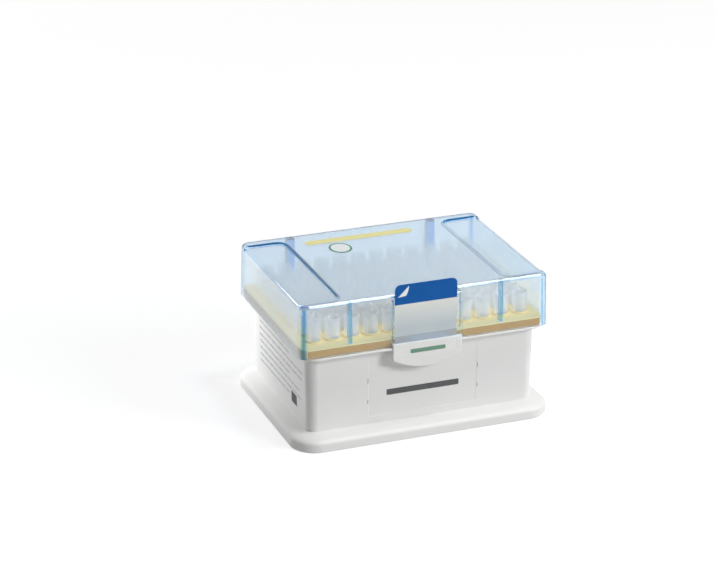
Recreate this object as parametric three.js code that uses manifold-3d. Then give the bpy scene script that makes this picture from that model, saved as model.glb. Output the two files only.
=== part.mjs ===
// A hinged box of 96 pipette tips: white base, yellow tip tray, clear blue lid and a peel-off seal.
// Millimetres, +Z up. The origin is the middle of the foot, on the surface the box stands on.
import * as THREE from 'three'
import { mergeVertices } from 'three/addons/utils/BufferGeometryUtils.js'
import Module from 'manifold-3d'

// ---- driving dimensions -------------------------------------------------------------------------

// Tips: the 9 mm grid of a 96-place rack.
const tipColumns = 12
const tipRows = 8
const tipPitch = 9
const tipLength = 53
const tipStand = 10
const tipTopRadius = 3.4
const tipSeatRadius = 2.95
const tipPointRadius = 0.55
const tipBoreTopRadius = 2.7
const tipBorePointRadius = 0.25
const tipSides = 8
const tipFloorGap = 0.5

// Clearances between pieces that meet.
const seatGap = 0.3
const sideGap = 0.8
const latchGap = 0.3
const pinGap = 0.3

// Tray.
const trayMarginX = 7.9
const trayMarginY = 10.2
const trayPlate = 1.5
const traySkirtHeight = 3.7
const traySkirtWall = 1.2
const trayCorner = 3.2

// Base shell.
const baseWall = 1.4
const baseFloor = 1.8
const baseDraft = 0.7
const baseCorner = 5.2
const shelfThickness = 1.1
const shelfInset = 0.3
const shelfOverhang = 4.2
const footSpread = 7.6
const footHeight = 6.9
const footEdge = 2.6
const footRing = 3.6
const footRecess = 3
const footChamfer = 0.5
const footCorner = 7.6
const panelHalfWidth = 26
const panelMargin = 4
const panelDepth = 0.3

// The foot's upper side, from its edge to the wall: share of the spread gone, share of the height won.
const footRoll = [[0.04, 0.42], [0.16, 0.62], [0.42, 0.8], [0.74, 0.92]]

// Lid shell.
const lidWall = 1.2
const lidRoof = 1.2
const lidDraft = 0.7
const lidCorner = 4.4
const lidEdgeRound = 2
const lidHeadroom = 8.9
const recessDepth = 0.9
const recessWidth = 19.4
const recessFrontMargin = 5.4
const recessBackMargin = 6.4
const recessCorner = 4.6

// Hold-down ribs inside the lid.
const frontRibPitches = 4
const frontRibWidth = 1.7
const frontRibDepth = 1.9
const backRibWidth = 3.6
const backRibDepth = 4
const ribTrayGap = 0.9

// Latch tab of the lid, with the boss and nose of the base under and behind it.
const tabHalfWidth = 16.9
const tabProud = 0.8
const tabRise = 2.1
const tabLip = 3.4
const tabWall = 1.2
const bossHeight = 7.6
const bossArcDrop = 4.7
const noseHalfWidth = 10
const noseThickness = 1
const noseHeight = 4.2

// Seal film.
const sealOffset = -1.2
const sealHalfWidth = 14.8
const sealThickness = 0.3
const sealAboveLid = 5.2
const sealOnBoss = 6.6
const sealTopCorner = 2.6

// Hinges.
const hingeOffset = 35
const hingeKnuckle = 8
const hingeEar = 2
const hingeEarRadius = 2.1
const hingePinRadius = 1.05
const hingeKnuckleWall = 0.75
const hingeAxisOut = 0.2
const hingeAxisDown = 2.3
const hingeEarDrop = 8
const hingeWebHeight = 6

// Facets.
const cornerSteps = 6
const roundSides = 16
const curveSteps = 6

// How far a cutting body runs past the face that it cuts, and the least corner radius.
const cutPast = 1
const borePast = 0.01
const leastCorner = 0.3

// ---- sizes worked out from them -----------------------------------------------------------------

const trayHalfX = (tipColumns - 1) * tipPitch / 2 + trayMarginX
const trayHalfY = (tipRows - 1) * tipPitch / 2 + trayMarginY
const lidHalfX = trayHalfX + sideGap + lidWall
const lidHalfY = trayHalfY + sideGap + lidWall
const shelfHalfX = lidHalfX - shelfInset
const shelfHalfY = lidHalfY - shelfInset
const wallHalfX = shelfHalfX - shelfOverhang
const wallHalfY = shelfHalfY - shelfOverhang
const footHalfX = wallHalfX - baseDraft + footSpread
const footHalfY = wallHalfY - baseDraft + footSpread

const floorTop = footRecess + baseFloor
const trayTop = floorTop + tipFloorGap + tipLength - tipStand
const traySeat = trayTop - traySkirtHeight
const shelfTop = traySeat - seatGap
const shelfBottom = shelfTop - shelfThickness
const tipTop = trayTop + tipStand
const lidSeat = shelfTop + seatGap
const lidTop = tipTop + lidHeadroom + lidRoof + recessDepth
const roofBottom = lidTop - lidRoof
const recessFloor = lidTop - recessDepth

const tabFace = -(lidHalfY + tabProud)
const tabBottom = lidSeat + tabRise
const bossFace = tabFace + latchGap
const bossTop = tabBottom - latchGap
const noseFace = -(lidHalfY - lidWall - latchGap)
const hingeAxisY = lidHalfY + hingeAxisOut
const hingeAxisZ = shelfTop - hingeAxisDown

// ---- solid modelling helpers --------------------------------------------------------------------

const wasm = await Module()
wasm.setup()

function toSolid(geometry) {
  const bare = geometry.index ? geometry.toNonIndexed() : geometry.clone()
  for (const name of Object.keys(bare.attributes)) {
    if (name !== 'position') bare.deleteAttribute(name)
  }
  const merged = mergeVertices(bare, 1e-4)
  return new wasm.Manifold(new wasm.Mesh({
    numProp: 3,
    vertProperties: new Float32Array(merged.attributes.position.array),
    triVerts: new Uint32Array(merged.index.array),
  }))
}

function toGeometry(solid) {
  const mesh = solid.getMesh()
  const geometry = new THREE.BufferGeometry()
  geometry.setAttribute('position', new THREE.BufferAttribute(new Float32Array(mesh.vertProperties), 3))
  geometry.setIndex(new THREE.BufferAttribute(new Uint32Array(mesh.triVerts), 1))
  geometry.computeVertexNormals()
  return geometry
}

// A rounded rectangle as corner arcs, anticlockwise seen from above.
function roundedRectangle(halfX, halfY, wanted) {
  const radius = Math.max(wanted, leastCorner)
  const points = []
  const corners = [[1, 1, 0], [-1, 1, 1], [-1, -1, 2], [1, -1, 3]]
  for (const [signX, signY, quarter] of corners) {
    for (let step = 0; step <= cornerSteps; step += 1) {
      const angle = (quarter + step / cornerSteps) * Math.PI / 2
      const x = signX * (halfX - radius) + radius * Math.cos(angle)
      const y = signY * (halfY - radius) + radius * Math.sin(angle)
      points.push([x, y])
    }
  }
  return points
}

// A closed body through a list of rounded rectangles [halfX, halfY, radius, z], capped at both ends.
// The list runs along the skin: down an inner wall, round the edge and up the outer wall, or back.
function skin(sections) {
  const rings = sections.map(([halfX, halfY, radius]) => roundedRectangle(halfX, halfY, radius))
  const count = rings[0].length
  const positions = []
  rings.forEach((ring, level) => {
    for (const [x, y] of ring) positions.push(x, y, sections[level][3])
  })
  const index = []
  for (let level = 0; level + 1 < rings.length; level += 1) {
    for (let k = 0; k < count; k += 1) {
      const a = level * count + k
      const b = level * count + (k + 1) % count
      index.push(a, b, b + count, a, b + count, a + count)
    }
  }
  const last = (rings.length - 1) * count
  for (let k = 1; k + 1 < count; k += 1) {
    index.push(0, k + 1, k)
    index.push(last, last + k, last + k + 1)
  }
  const geometry = new THREE.BufferGeometry()
  geometry.setAttribute('position', new THREE.Float32BufferAttribute(positions, 3))
  geometry.setIndex(index)
  return toSolid(geometry)
}

function block(x0, x1, y0, y1, z0, z1) {
  const geometry = new THREE.BoxGeometry(x1 - x0, y1 - y0, z1 - z0)
  geometry.translate((x0 + x1) / 2, (y0 + y1) / 2, (z0 + z1) / 2)
  return toSolid(geometry)
}

function extrude(shape, depth) {
  return new THREE.ExtrudeGeometry(shape, { depth, bevelEnabled: false, curveSegments: curveSteps })
}

// An upright plate: a shape drawn in X and Z, from the plane y0 back to y1.
function uprightPlate(shape, y0, y1) {
  const geometry = extrude(shape, y1 - y0)
  geometry.rotateX(Math.PI / 2)
  geometry.translate(0, y1, 0)
  return toSolid(geometry)
}

// A side plate: a shape drawn in Y and Z, from x0 to x1.
function sidePlate(shape, x0, x1) {
  const geometry = extrude(shape, x1 - x0)
  geometry.rotateX(Math.PI / 2)
  geometry.rotateZ(Math.PI / 2)
  geometry.translate(x0, 0, 0)
  return toSolid(geometry)
}

// A rod along X on the hinge line.
function hingeRod(radius, x0, x1) {
  const geometry = new THREE.CylinderGeometry(radius, radius, x1 - x0, roundSides)
  geometry.rotateZ(Math.PI / 2)
  geometry.translate((x0 + x1) / 2, hingeAxisY, hingeAxisZ)
  return toSolid(geometry)
}

// A cone with its foot at z0, drawn with the tip's number of sides.
function tipCone(x, y, z0, z1, radius0, radius1) {
  const geometry = new THREE.CylinderGeometry(radius1, radius0, z1 - z0, tipSides)
  geometry.rotateX(Math.PI / 2)
  geometry.translate(x, y, (z0 + z1) / 2)
  return toSolid(geometry)
}

function roundedOutline(x0, x1, z0, z1, lowerRadius, upperRadius) {
  const shape = new THREE.Shape()
  shape.moveTo(x0 + lowerRadius, z0)
  shape.lineTo(x1 - lowerRadius, z0)
  shape.absarc(x1 - lowerRadius, z0 + lowerRadius, lowerRadius, -Math.PI / 2, 0, false)
  shape.lineTo(x1, z1 - upperRadius)
  shape.absarc(x1 - upperRadius, z1 - upperRadius, upperRadius, 0, Math.PI / 2, false)
  shape.lineTo(x0 + upperRadius, z1)
  shape.absarc(x0 + upperRadius, z1 - upperRadius, upperRadius, Math.PI / 2, Math.PI, false)
  shape.lineTo(x0, z0 + lowerRadius)
  shape.absarc(x0 + lowerRadius, z0 + lowerRadius, lowerRadius, Math.PI, Math.PI * 1.5, false)
  return shape
}

const join = (...solids) => solids.reduce((sum, solid) => sum.add(solid))

// ---- base shell ---------------------------------------------------------------------------------

function baseSkin() {
  const lowX = wallHalfX - baseDraft
  const lowY = wallHalfY - baseDraft
  const recessX = footHalfX - footChamfer - footRing
  const recessY = footHalfY - footChamfer - footRing
  const recessCornerRadius = footCorner - footRing
  const roll = footRoll.map(([out, rise]) => [
    footHalfX - out * footSpread,
    footHalfY - out * footSpread,
    footCorner - out * (footCorner - baseCorner),
    footEdge + (footHeight - footEdge) * rise,
  ])
  return skin([
    [recessX - footChamfer, recessY - footChamfer, recessCornerRadius, footRecess],
    [recessX, recessY, recessCornerRadius + footChamfer, 0],
    [footHalfX - footChamfer, footHalfY - footChamfer, footCorner - footChamfer, 0],
    [footHalfX, footHalfY, footCorner, footChamfer],
    [footHalfX, footHalfY, footCorner, footEdge],
    ...roll,
    [lowX, lowY, baseCorner, footHeight],
    [wallHalfX, wallHalfY, baseCorner, shelfBottom],
    [shelfHalfX, shelfHalfY, lidCorner, shelfBottom],
    [shelfHalfX, shelfHalfY, lidCorner, shelfTop],
    [wallHalfX - baseWall, wallHalfY - baseWall, baseCorner - baseWall, shelfTop],
    [lowX - baseWall, lowY - baseWall, baseCorner - baseWall, floorTop],
  ])
}

// The catch boss under the latch tab: straight sides and a bowed lower edge.
function catchBoss() {
  const half = tabHalfWidth - latchGap
  const sideBottom = bossTop - bossHeight
  const shape = new THREE.Shape()
  shape.moveTo(-half, bossTop)
  shape.lineTo(-half, sideBottom)
  shape.quadraticCurveTo(0, sideBottom - 2 * bossArcDrop, half, sideBottom)
  shape.lineTo(half, bossTop)
  const inner = -(wallHalfY - baseDraft - baseWall / 2)
  const boss = uprightPlate(shape, bossFace, inner)
  const behind = block(-half - cutPast, half + cutPast, noseFace, 0, shelfTop, bossTop + cutPast)
  return boss.subtract(behind)
}

function catchNose() {
  return block(-noseHalfWidth, noseHalfWidth, noseFace, noseFace + noseThickness,
    shelfTop - shelfThickness / 2, shelfTop + noseHeight)
}

function hingeEarShape() {
  const shape = new THREE.Shape()
  const inside = wallHalfY - baseDraft - baseWall / 2
  shape.moveTo(inside, shelfBottom)
  shape.lineTo(inside, shelfBottom - hingeEarDrop)
  shape.lineTo(wallHalfY, shelfBottom - hingeEarDrop)
  const steps = roundSides / 2
  for (let step = 0; step <= steps; step += 1) {
    const angle = (-0.35 + 0.85 * step / steps) * Math.PI
    const y = hingeAxisY + hingeEarRadius * Math.cos(angle)
    const z = hingeAxisZ + hingeEarRadius * Math.sin(angle)
    shape.lineTo(y, z)
  }
  shape.lineTo(shelfHalfY - shelfInset, hingeAxisZ + hingeEarRadius)
  return shape
}

function baseHinge(middle) {
  const reach = hingeKnuckle / 2 + pinGap
  const ears = [-1, 1].map((side) => {
    const near = middle + side * reach
    const far = near + side * hingeEar
    return sidePlate(hingeEarShape(), Math.min(near, far), Math.max(near, far))
  })
  const pinHalf = reach + hingeEar / 2
  return join(...ears, hingeRod(hingePinRadius, middle - pinHalf, middle + pinHalf))
}

function knuckleSlot(middle) {
  const reach = hingeKnuckle / 2 + pinGap
  const depth = hingeAxisY - hingePinRadius - hingeKnuckleWall - 2 * pinGap
  return block(middle - reach, middle + reach, depth, footHalfY, shelfBottom - cutPast, shelfTop + cutPast)
}

function buildBase() {
  const panelZ0 = footHeight + panelMargin
  const panelZ1 = shelfBottom - panelMargin
  const panelFace = -(wallHalfY - baseDraft - panelDepth)
  const panel = uprightPlate(
    roundedOutline(-panelHalfWidth, panelHalfWidth, panelZ0, panelZ1, panelDepth, panelDepth),
    -wallHalfY - panelDepth, panelFace)
  let solid = baseSkin().subtract(panel)
  for (const side of [-1, 1]) solid = solid.subtract(knuckleSlot(side * hingeOffset))
  for (const side of [-1, 1]) solid = solid.add(baseHinge(side * hingeOffset))
  return solid.add(catchBoss()).add(catchNose())
}

// ---- tray with its tips -------------------------------------------------------------------------

function tipPlaces() {
  const places = []
  for (let column = 0; column < tipColumns; column += 1) {
    for (let row = 0; row < tipRows; row += 1) {
      places.push([
        (column - (tipColumns - 1) / 2) * tipPitch,
        (row - (tipRows - 1) / 2) * tipPitch,
      ])
    }
  }
  return places
}

function buildTray() {
  const innerX = trayHalfX - traySkirtWall
  const innerY = trayHalfY - traySkirtWall
  const innerCorner = trayCorner - traySkirtWall
  let solid = skin([
    [innerX, innerY, innerCorner, trayTop - trayPlate],
    [innerX, innerY, innerCorner, traySeat],
    [trayHalfX, trayHalfY, trayCorner, traySeat],
    [trayHalfX, trayHalfY, trayCorner, trayTop],
  ])
  const notch = noseHalfWidth + latchGap
  const notchBack = noseFace + noseThickness + latchGap
  solid = solid.subtract(block(-notch, notch, -trayHalfY - cutPast, notchBack,
    traySeat - cutPast, trayTop + cutPast))
  const tips = tipPlaces().map(([x, y]) => join(
    tipCone(x, y, trayTop - trayPlate / 2, tipTop, tipSeatRadius, tipTopRadius),
    tipCone(x, y, tipTop - tipLength, trayTop - trayPlate / 2, tipPointRadius, tipSeatRadius)))
  const bores = tipPlaces().map(([x, y]) => (
    tipCone(x, y, tipTop - tipLength - borePast, tipTop + borePast, tipBorePointRadius, tipBoreTopRadius)))
  return wasm.Manifold.union([solid, ...tips]).subtract(wasm.Manifold.union(bores))
}

// ---- lid ----------------------------------------------------------------------------------------

function lidSkin() {
  const topX = lidHalfX - lidDraft
  const topY = lidHalfY - lidDraft
  const topCorner = lidCorner - lidDraft
  const half = lidEdgeRound * (1 - Math.SQRT1_2)
  return skin([
    [topX - lidWall, topY - lidWall, topCorner - lidWall, roofBottom],
    [lidHalfX - lidWall, lidHalfY - lidWall, lidCorner - lidWall, lidSeat],
    [lidHalfX, lidHalfY, lidCorner, lidSeat],
    [topX, topY, topCorner, lidTop - lidEdgeRound],
    [topX - half, topY - half, topCorner - half, lidTop - half],
    [topX - lidEdgeRound, topY - lidEdgeRound, topCorner - lidEdgeRound, lidTop],
  ])
}

// The stacking recess at one end of the top: open to the end, rounded at its two inner corners.
function recessPrism(side, grow, z0, z1, reach) {
  const x0 = lidHalfX - lidDraft - recessWidth - grow
  const y0 = -(lidHalfY - lidDraft - recessFrontMargin) - grow
  const y1 = lidHalfY - lidDraft - recessBackMargin + grow
  const radius = recessCorner + grow
  const shape = new THREE.Shape()
  shape.moveTo(side * reach, y0)
  shape.lineTo(side * (x0 + radius), y0)
  shape.quadraticCurveTo(side * x0, y0, side * x0, y0 + radius)
  shape.lineTo(side * x0, y1 - radius)
  shape.quadraticCurveTo(side * x0, y1, side * (x0 + radius), y1)
  shape.lineTo(side * reach, y1)
  const geometry = extrude(shape, z1 - z0)
  geometry.translate(0, 0, z0)
  return toSolid(geometry)
}

function holdDownRibs() {
  const ribs = []
  const z0 = trayTop + ribTrayGap
  const z1 = roofBottom + lidRoof / 2
  const wallY = lidHalfY - lidDraft - lidWall
  for (const side of [-1, 1]) {
    const frontX = side * frontRibPitches * tipPitch
    ribs.push(block(frontX - frontRibWidth / 2, frontX + frontRibWidth / 2,
      -lidHalfY + lidWall / 2, -wallY + frontRibDepth, z0, z1))
    const backX = side * hingeOffset
    ribs.push(block(backX - backRibWidth / 2, backX + backRibWidth / 2,
      wallY - backRibDepth, lidHalfY - lidWall / 2, z0, z1))
  }
  return ribs
}

function latchTab() {
  const inner = -(lidHalfY - lidWall)
  return block(-tabHalfWidth, tabHalfWidth, tabFace, inner, tabBottom, lidTop - lidEdgeRound)
}

// The hollow behind the tab, above its thick lower lip.
function tabHollow() {
  const half = tabHalfWidth - tabWall
  const inner = -(lidHalfY - lidDraft - lidWall)
  return block(-half, half, tabFace + tabWall, inner + cutPast, tabBottom + tabLip, roofBottom)
}

function lidKnuckle(middle) {
  const half = hingeKnuckle / 2
  const outer = hingePinRadius + pinGap + hingeKnuckleWall
  const shape = new THREE.Shape()
  const wallFace = lidHalfY - lidWall / 2
  shape.moveTo(wallFace, hingeAxisZ)
  shape.lineTo(hingeAxisY + outer, hingeAxisZ)
  shape.lineTo(hingeAxisY + outer, lidSeat + lidWall)
  shape.lineTo(wallFace, lidSeat + hingeWebHeight)
  const web = sidePlate(shape, middle - half, middle + half)
  const barrel = hingeRod(outer, middle - half, middle + half)
  const bore = hingeRod(hingePinRadius + pinGap, middle - half - cutPast, middle + half + cutPast)
  return join(web, barrel).subtract(bore)
}

function buildLid() {
  let solid = lidSkin()
  for (const side of [-1, 1]) {
    const inside = lidHalfX - lidDraft - lidWall / 2
    solid = solid.add(recessPrism(side, lidWall, recessFloor - lidRoof, roofBottom + lidRoof / 2, inside))
  }
  for (const side of [-1, 1]) {
    solid = solid.subtract(recessPrism(side, 0, recessFloor, lidTop + cutPast, lidHalfX + cutPast))
  }
  solid = join(solid, latchTab()).subtract(tabHollow())
  const bossNotch = block(-tabHalfWidth, tabHalfWidth, tabFace - cutPast, -trayHalfY,
    lidSeat - cutPast, tabBottom)
  solid = solid.subtract(bossNotch)
  solid = join(solid, ...holdDownRibs())
  for (const side of [-1, 1]) solid = solid.add(lidKnuckle(side * hingeOffset))
  return solid
}

// ---- seal ---------------------------------------------------------------------------------------

function buildSeal() {
  const outline = roundedOutline(
    sealOffset - sealHalfWidth, sealOffset + sealHalfWidth,
    bossTop - sealOnBoss, lidTop + sealAboveLid, sealTopCorner / 2, sealTopCorner)
  return uprightPlate(outline, tabFace - sealThickness, tabFace)
}

// ---- the box ------------------------------------------------------------------------------------

const finishes = {
  whitePlastic: { color: 0xe6e6e4, roughness: 0.42, metalness: 0 },
  yellowPlastic: { color: 0xe3c878, roughness: 0.45, metalness: 0 },
  bluePlastic: { color: 0xbfe0f5, roughness: 0.12, metalness: 0, transparent: true, opacity: 0.4 },
  sealFilm: { color: 0x2f6fb5, roughness: 0.3, metalness: 0 },
}

function piece(name, solid, finish) {
  const mesh = new THREE.Mesh(toGeometry(solid), new THREE.MeshStandardMaterial(finishes[finish]))
  mesh.name = name
  return mesh
}

const tipBox = new THREE.Group()
tipBox.add(piece('base_shell', buildBase(), 'whitePlastic'))
tipBox.add(piece('tip_tray', buildTray(), 'yellowPlastic'))

const lidAssembly = new THREE.Group()
lidAssembly.add(piece('lid', buildLid(), 'bluePlastic'))
lidAssembly.add(piece('seal', buildSeal(), 'sealFilm'))
tipBox.add(lidAssembly)

export default tipBox
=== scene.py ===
# %% [markdown]
# # A hinged box of pipette tips
# The real box is four mouldings and a film: a white base with a wide foot, a yellow tray that
# hangs on the base's shelf, ninety-six tips that stand in the tray, a clear blue lid on two
# hinges, and a seal that is stuck over the catch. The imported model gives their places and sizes.
# This script builds finer skins around it and gives every skin its finish.

import functools
import math

import bmesh
import bpy
from mathutils import Matrix, Vector


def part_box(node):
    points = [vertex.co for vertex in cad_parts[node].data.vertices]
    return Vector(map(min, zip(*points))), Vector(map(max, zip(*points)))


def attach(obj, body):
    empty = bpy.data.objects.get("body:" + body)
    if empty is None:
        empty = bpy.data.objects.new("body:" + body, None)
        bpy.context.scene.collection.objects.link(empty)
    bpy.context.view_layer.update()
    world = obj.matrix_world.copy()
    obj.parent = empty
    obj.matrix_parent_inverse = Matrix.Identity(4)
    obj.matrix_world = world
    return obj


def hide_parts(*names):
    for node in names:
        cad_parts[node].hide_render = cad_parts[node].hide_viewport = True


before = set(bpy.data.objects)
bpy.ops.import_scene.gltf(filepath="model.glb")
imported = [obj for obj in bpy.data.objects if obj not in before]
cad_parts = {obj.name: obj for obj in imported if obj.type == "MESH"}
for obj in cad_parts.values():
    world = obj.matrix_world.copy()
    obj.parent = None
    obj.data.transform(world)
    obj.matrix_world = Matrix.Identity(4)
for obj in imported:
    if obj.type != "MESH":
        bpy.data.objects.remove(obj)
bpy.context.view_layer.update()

# %% [markdown]
# ## Units and the sizes that the model gives
# Blender works in metres, but a moulding this small is easier to read in millimetres, so every
# size below is in millimetres and each mesh is scaled once, when its points are made. The outer
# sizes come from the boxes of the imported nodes. Walls, draft and clearances are the mould's own
# numbers, named here once and shared by every piece that meets them.

# %% Sizes from the frame
MM = 0.001


def node_box(name):
    """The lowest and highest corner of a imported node, in millimetres."""
    low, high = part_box(name)
    return low / MM, high / MM


base_low, base_high = node_box("base_shell")
tray_low, tray_high = node_box("tip_tray")
lid_low, lid_high = node_box("lid")
seal_low, seal_high = node_box("seal")

tip_stand = 10.0
tray_skirt = 3.7
seat_gap = 0.3
side_gap = 0.8
draft = 0.7
tab_proud = 0.8

tip_top = tray_high.z
tip_end = tray_low.z
tray_top = tip_top - tip_stand
tray_seat = tray_top - tray_skirt
shelf_top = tray_seat - seat_gap
rim = shelf_top + seat_gap
lid_x = lid_high.x
lid_y = -lid_low.y - tab_proud
lid_top = lid_high.z
tray_x = tray_high.x
tray_y = tray_high.y
foot_x = base_high.x
foot_y = -base_low.y
print(f"foot {2 * foot_x:.1f} x {2 * foot_y:.1f} mm, lid {2 * lid_x:.1f} x {2 * lid_y:.1f} mm")
print(f"the lid's top lies at {lid_top:.1f} mm")

# %% [markdown]
# ## The camera
# A long lens from the left and a little above. The camera looks at a point beside the box, so the
# box stands right of the middle of the view.

# %% Camera
camera_azimuth = math.radians(-20.68)
camera_elevation = math.radians(22.03)
camera_distance = 1181.5
camera_target = Vector((-16.65, 0, 56.92))

camera_back = Vector((
    math.sin(camera_azimuth) * math.cos(camera_elevation),
    -math.cos(camera_azimuth) * math.cos(camera_elevation),
    math.sin(camera_elevation),
))
camera_data = bpy.data.cameras.new("camera")
camera_data.lens = 130.9
camera_data.clip_end = 20
camera = bpy.data.objects.new("camera", camera_data)
camera.location = (camera_target + camera_back * camera_distance) * MM
camera.rotation_euler = (-camera_back).to_track_quat("-Z", "Y").to_euler()
bpy.context.scene.collection.objects.link(camera)
bpy.context.scene.camera = camera
bpy.context.scene.view_settings.view_transform = "Standard"
print("camera at", [round(value, 3) for value in camera.location])

# %% [markdown]
# ## Lines with rounded corners
# Every moulded edge has a small radius, and those radii catch the light. A bevel modifier would
# round them too, but it has to guess at the places where walls meet. Here the radius is part of
# the drawing: a line is given by its corners, each with a radius, and one helper puts the arcs in.

# %% Rounded lines
ARC_STEPS = 4


def arc_points(last, corner, following, radius, steps):
    """The points that round one corner of a line in a plane."""
    to_last = (last - corner).normalized()
    to_next = (following - corner).normalized()
    half_angle = to_last.angle(to_next) / 2
    centre = corner + (to_last + to_next).normalized() * radius / math.sin(half_angle)
    first = corner + to_last * radius / math.tan(half_angle) - centre
    sweep = first.angle_signed(corner + to_next * radius / math.tan(half_angle) - centre)
    return [centre + Matrix.Rotation(-sweep * step / steps, 2) @ first for step in range(steps + 1)]


def rounded_line(corners, steps=ARC_STEPS, closed=False):
    """A line through (a, b, radius) corners. The ends of an open line stay as they are."""
    places = [Vector(corner[:2]) for corner in corners]
    line = []
    for index, place in enumerate(places):
        radius = corners[index][2]
        at_end = not closed and index in (0, len(corners) - 1)
        if at_end or radius == 0:
            line.append(place)
        else:
            following = places[(index + 1) % len(places)]
            line.extend(arc_points(places[index - 1], place, following, radius, steps))
    return line


def rounded_box_outline(a0, a1, b0, b1, radius, steps=ARC_STEPS):
    """A closed outline: a rectangle with four equal corners."""
    corners = [(a0, b0, radius), (a1, b0, radius), (a1, b1, radius), (a0, b1, radius)]
    return rounded_line(corners, steps, closed=True)


print("one corner takes", len(rounded_line([(0, 0, 0), (1, 0, 0.2), (1, 1, 0)])) - 2, "points")

# %% [markdown]
# ## Skins through rings
# The base, the tray and the lid are all drafted boxes with round corners. Such a moulding is a
# stack of rounded rectangles: a profile says how far each ring stands out and how high it lies.
# Lofting the rings gives clean quads that follow the corners.

# %% Rings and lofts
CORNER_STEPS = 12
LEAST_CORNER = 0.25


def rounded_ring(half_x, half_y, corner, z, middle=(0, 0)):
    """One rounded rectangle at height z, anticlockwise from above."""
    radius = max(corner, LEAST_CORNER)
    points = []
    for quarter, (side_x, side_y) in enumerate([(1, 1), (-1, 1), (-1, -1), (1, -1)]):
        for step in range(CORNER_STEPS + 1):
            angle = (quarter + step / CORNER_STEPS) * math.pi / 2
            x = middle[0] + side_x * (half_x - radius) + radius * math.cos(angle)
            y = middle[1] + side_y * (half_y - radius) + radius * math.sin(angle)
            points.append((x, y, z))
    return points


def new_object(name, points, faces):
    """A mesh object from points in millimetres, with its faces turned outwards."""
    mesh = bpy.data.meshes.new(name)
    mesh.from_pydata([Vector(point) * MM for point in points], [], faces)
    made = bmesh.new()
    made.from_mesh(mesh)
    bmesh.ops.recalc_face_normals(made, faces=made.faces)
    made.to_mesh(mesh)
    made.free()
    obj = bpy.data.objects.new(name, mesh)
    bpy.context.scene.collection.objects.link(obj)
    return obj


def loft(name, rings):
    """A closed body through rings of equally many points, with a flat cap at each end."""
    count = len(rings[0])
    points = [point for ring in rings for point in ring]
    faces = [tuple(range(count)), tuple(range(len(points) - count, len(points)))]
    for level in range(len(rings) - 1):
        for k in range(count):
            a = level * count + k
            b = level * count + (k + 1) % count
            faces.append((a, b, b + count, a + count))
    return new_object(name, points, faces)


def skin(name, half_x, half_y, corner, profile, middle=(0, 0)):
    """A loft whose profile lists (how far out from the half sizes, height)."""
    rings = [rounded_ring(half_x + out, half_y + out, corner + out, z, middle) for out, z in profile]
    return loft(name, rings)


# %% [markdown]
# ## Plates, and joining and cutting
# Tabs, ribs and lugs are flat plates: an outline pushed along one axis, with its rims rounded
# while it is still a simple prism. The pieces are then joined and cut as solids, so each moulding
# ends as one closed skin, which clear plastic needs: a hidden wall inside it would show.

# %% Plates
def place_on(axis, a, b, along):
    """A point from two coordinates of an outline and one along the axis."""
    return {"x": (along, a, b), "y": (a, along, b), "z": (a, b, along)}[axis]


def plate(name, axis, outline, low, high, low_round=0.0, high_round=0.0):
    """A prism along an axis; each of its two rims may be rounded."""
    count = len(outline)
    points = [place_on(axis, a, b, low) for a, b in outline]
    points += [place_on(axis, a, b, high) for a, b in outline]
    faces = [tuple(range(count)), tuple(range(count, 2 * count))]
    faces += [(k, (k + 1) % count, (k + 1) % count + count, k + count) for k in range(count)]
    obj = new_object(name, points, faces)
    for along, radius in ((low, low_round), (high, high_round)):
        if radius > 0:
            round_rim(obj, "xyz".index(axis), along * MM, radius * MM)
    return obj


def round_rim(obj, axis_index, along, radius):
    """Rounds the edges of a plate that lie in one plane across its axis."""
    made = bmesh.new()
    made.from_mesh(obj.data)
    near = radius / 100
    rim_edges = [
        edge for edge in made.edges
        if all(abs(vertex.co[axis_index] - along) < near for vertex in edge.verts)
    ]
    bmesh.ops.bevel(
        made, geom=rim_edges, offset=radius, segments=ARC_STEPS, profile=0.5, affect="EDGES",
    )
    made.to_mesh(obj.data)
    made.free()


def block(name, x0, x1, y0, y1, z0, z1):
    outline = [(x0, y0), (x1, y0), (x1, y1), (x0, y1)]
    return plate(name, "z", outline, z0, z1)


def rod(name, radius, x0, x1, y, z, steps=32):
    """A round bar along X."""
    outline = [
        (y + radius * math.cos(k * 2 * math.pi / steps), z + radius * math.sin(k * 2 * math.pi / steps))
        for k in range(steps)
    ]
    return plate(name, "x", outline, x0, x1)


# %% Joining and cutting
def combine(body, others, operation):
    """Joins other solids to a body, or cuts them from it, and removes them."""
    for other in others:
        change = body.modifiers.new("combine", "BOOLEAN")
        change.operation = operation
        change.solver = "MANIFOLD"
        change.object = other
        graph = bpy.context.evaluated_depsgraph_get()
        mesh = bpy.data.meshes.new_from_object(body.evaluated_get(graph))
        body.modifiers.clear()
        used = body.data
        body.data = mesh
        bpy.data.meshes.remove(used)
        bpy.data.objects.remove(other)
    return body


def join(body, *others):
    return combine(body, others, "UNION")


def cut(body, *others):
    return combine(body, others, "DIFFERENCE")


def merge_islands(name, objects):
    """Puts separate solids that don't touch into one object."""
    made = bmesh.new()
    for obj in objects:
        made.from_mesh(obj.data)
        bpy.data.objects.remove(obj)
    mesh = bpy.data.meshes.new(name)
    made.to_mesh(mesh)
    made.free()
    merged = bpy.data.objects.new(name, mesh)
    bpy.context.scene.collection.objects.link(merged)
    return merged


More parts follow.
